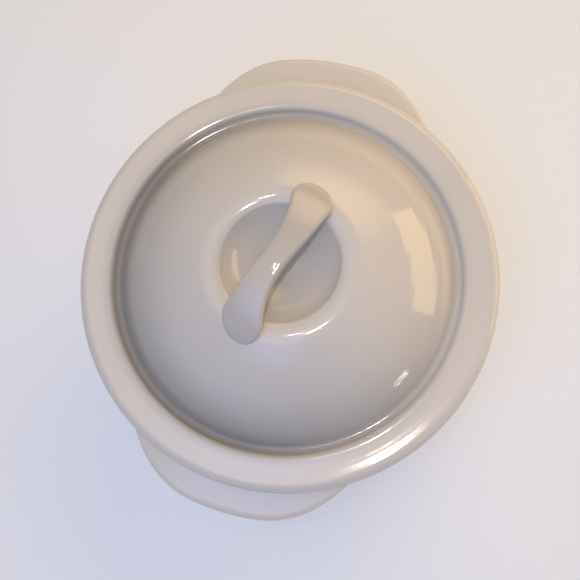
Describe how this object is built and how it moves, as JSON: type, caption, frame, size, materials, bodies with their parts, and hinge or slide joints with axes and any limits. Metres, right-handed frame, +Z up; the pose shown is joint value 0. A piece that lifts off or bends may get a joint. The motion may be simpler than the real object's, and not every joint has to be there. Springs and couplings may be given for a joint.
{
  "type": "covered casserole dish",
  "caption": "Round glazed porcelain casserole: domed lid with a strap handle over a sunk finger well, on a deep dish with two flat side lugs.",
  "frame": {"origin": "centre of the foot ring, on the table", "axes": "+Z up along the axis of dish and lid; +X and -X towards the two lugs"},
  "size_m": [0.276, 0.24, 0.149],
  "materials": {
    "white_glaze": "off-white transparent glaze over porcelain, fired glossy",
    "bare_porcelain": "porcelain body wiped free of glaze, fired matt"
  },
  "bodies": {
    "dish": {"dish_bowl": "white_glaze", "lug_left": "white_glaze", "lug_right": "white_glaze"},
    "lid_seat": {"lid_locating_flange": "bare_porcelain"},
    "lid": {"lid_cover": "white_glaze", "lid_strap_handle": "white_glaze"}
  },
  "joints": [
    {"name": "lid_lift", "type": "slide", "parent": "dish", "child": "lid_seat", "axis": [0, 0, 1], "range_m": [0, 0.12]},
    {"name": "lid_turn", "type": "hinge", "parent": "lid_seat", "child": "lid", "pos_m": [0, 0, 0.0923], "axis": [0, 0, 1], "continuous": true}
  ]
}
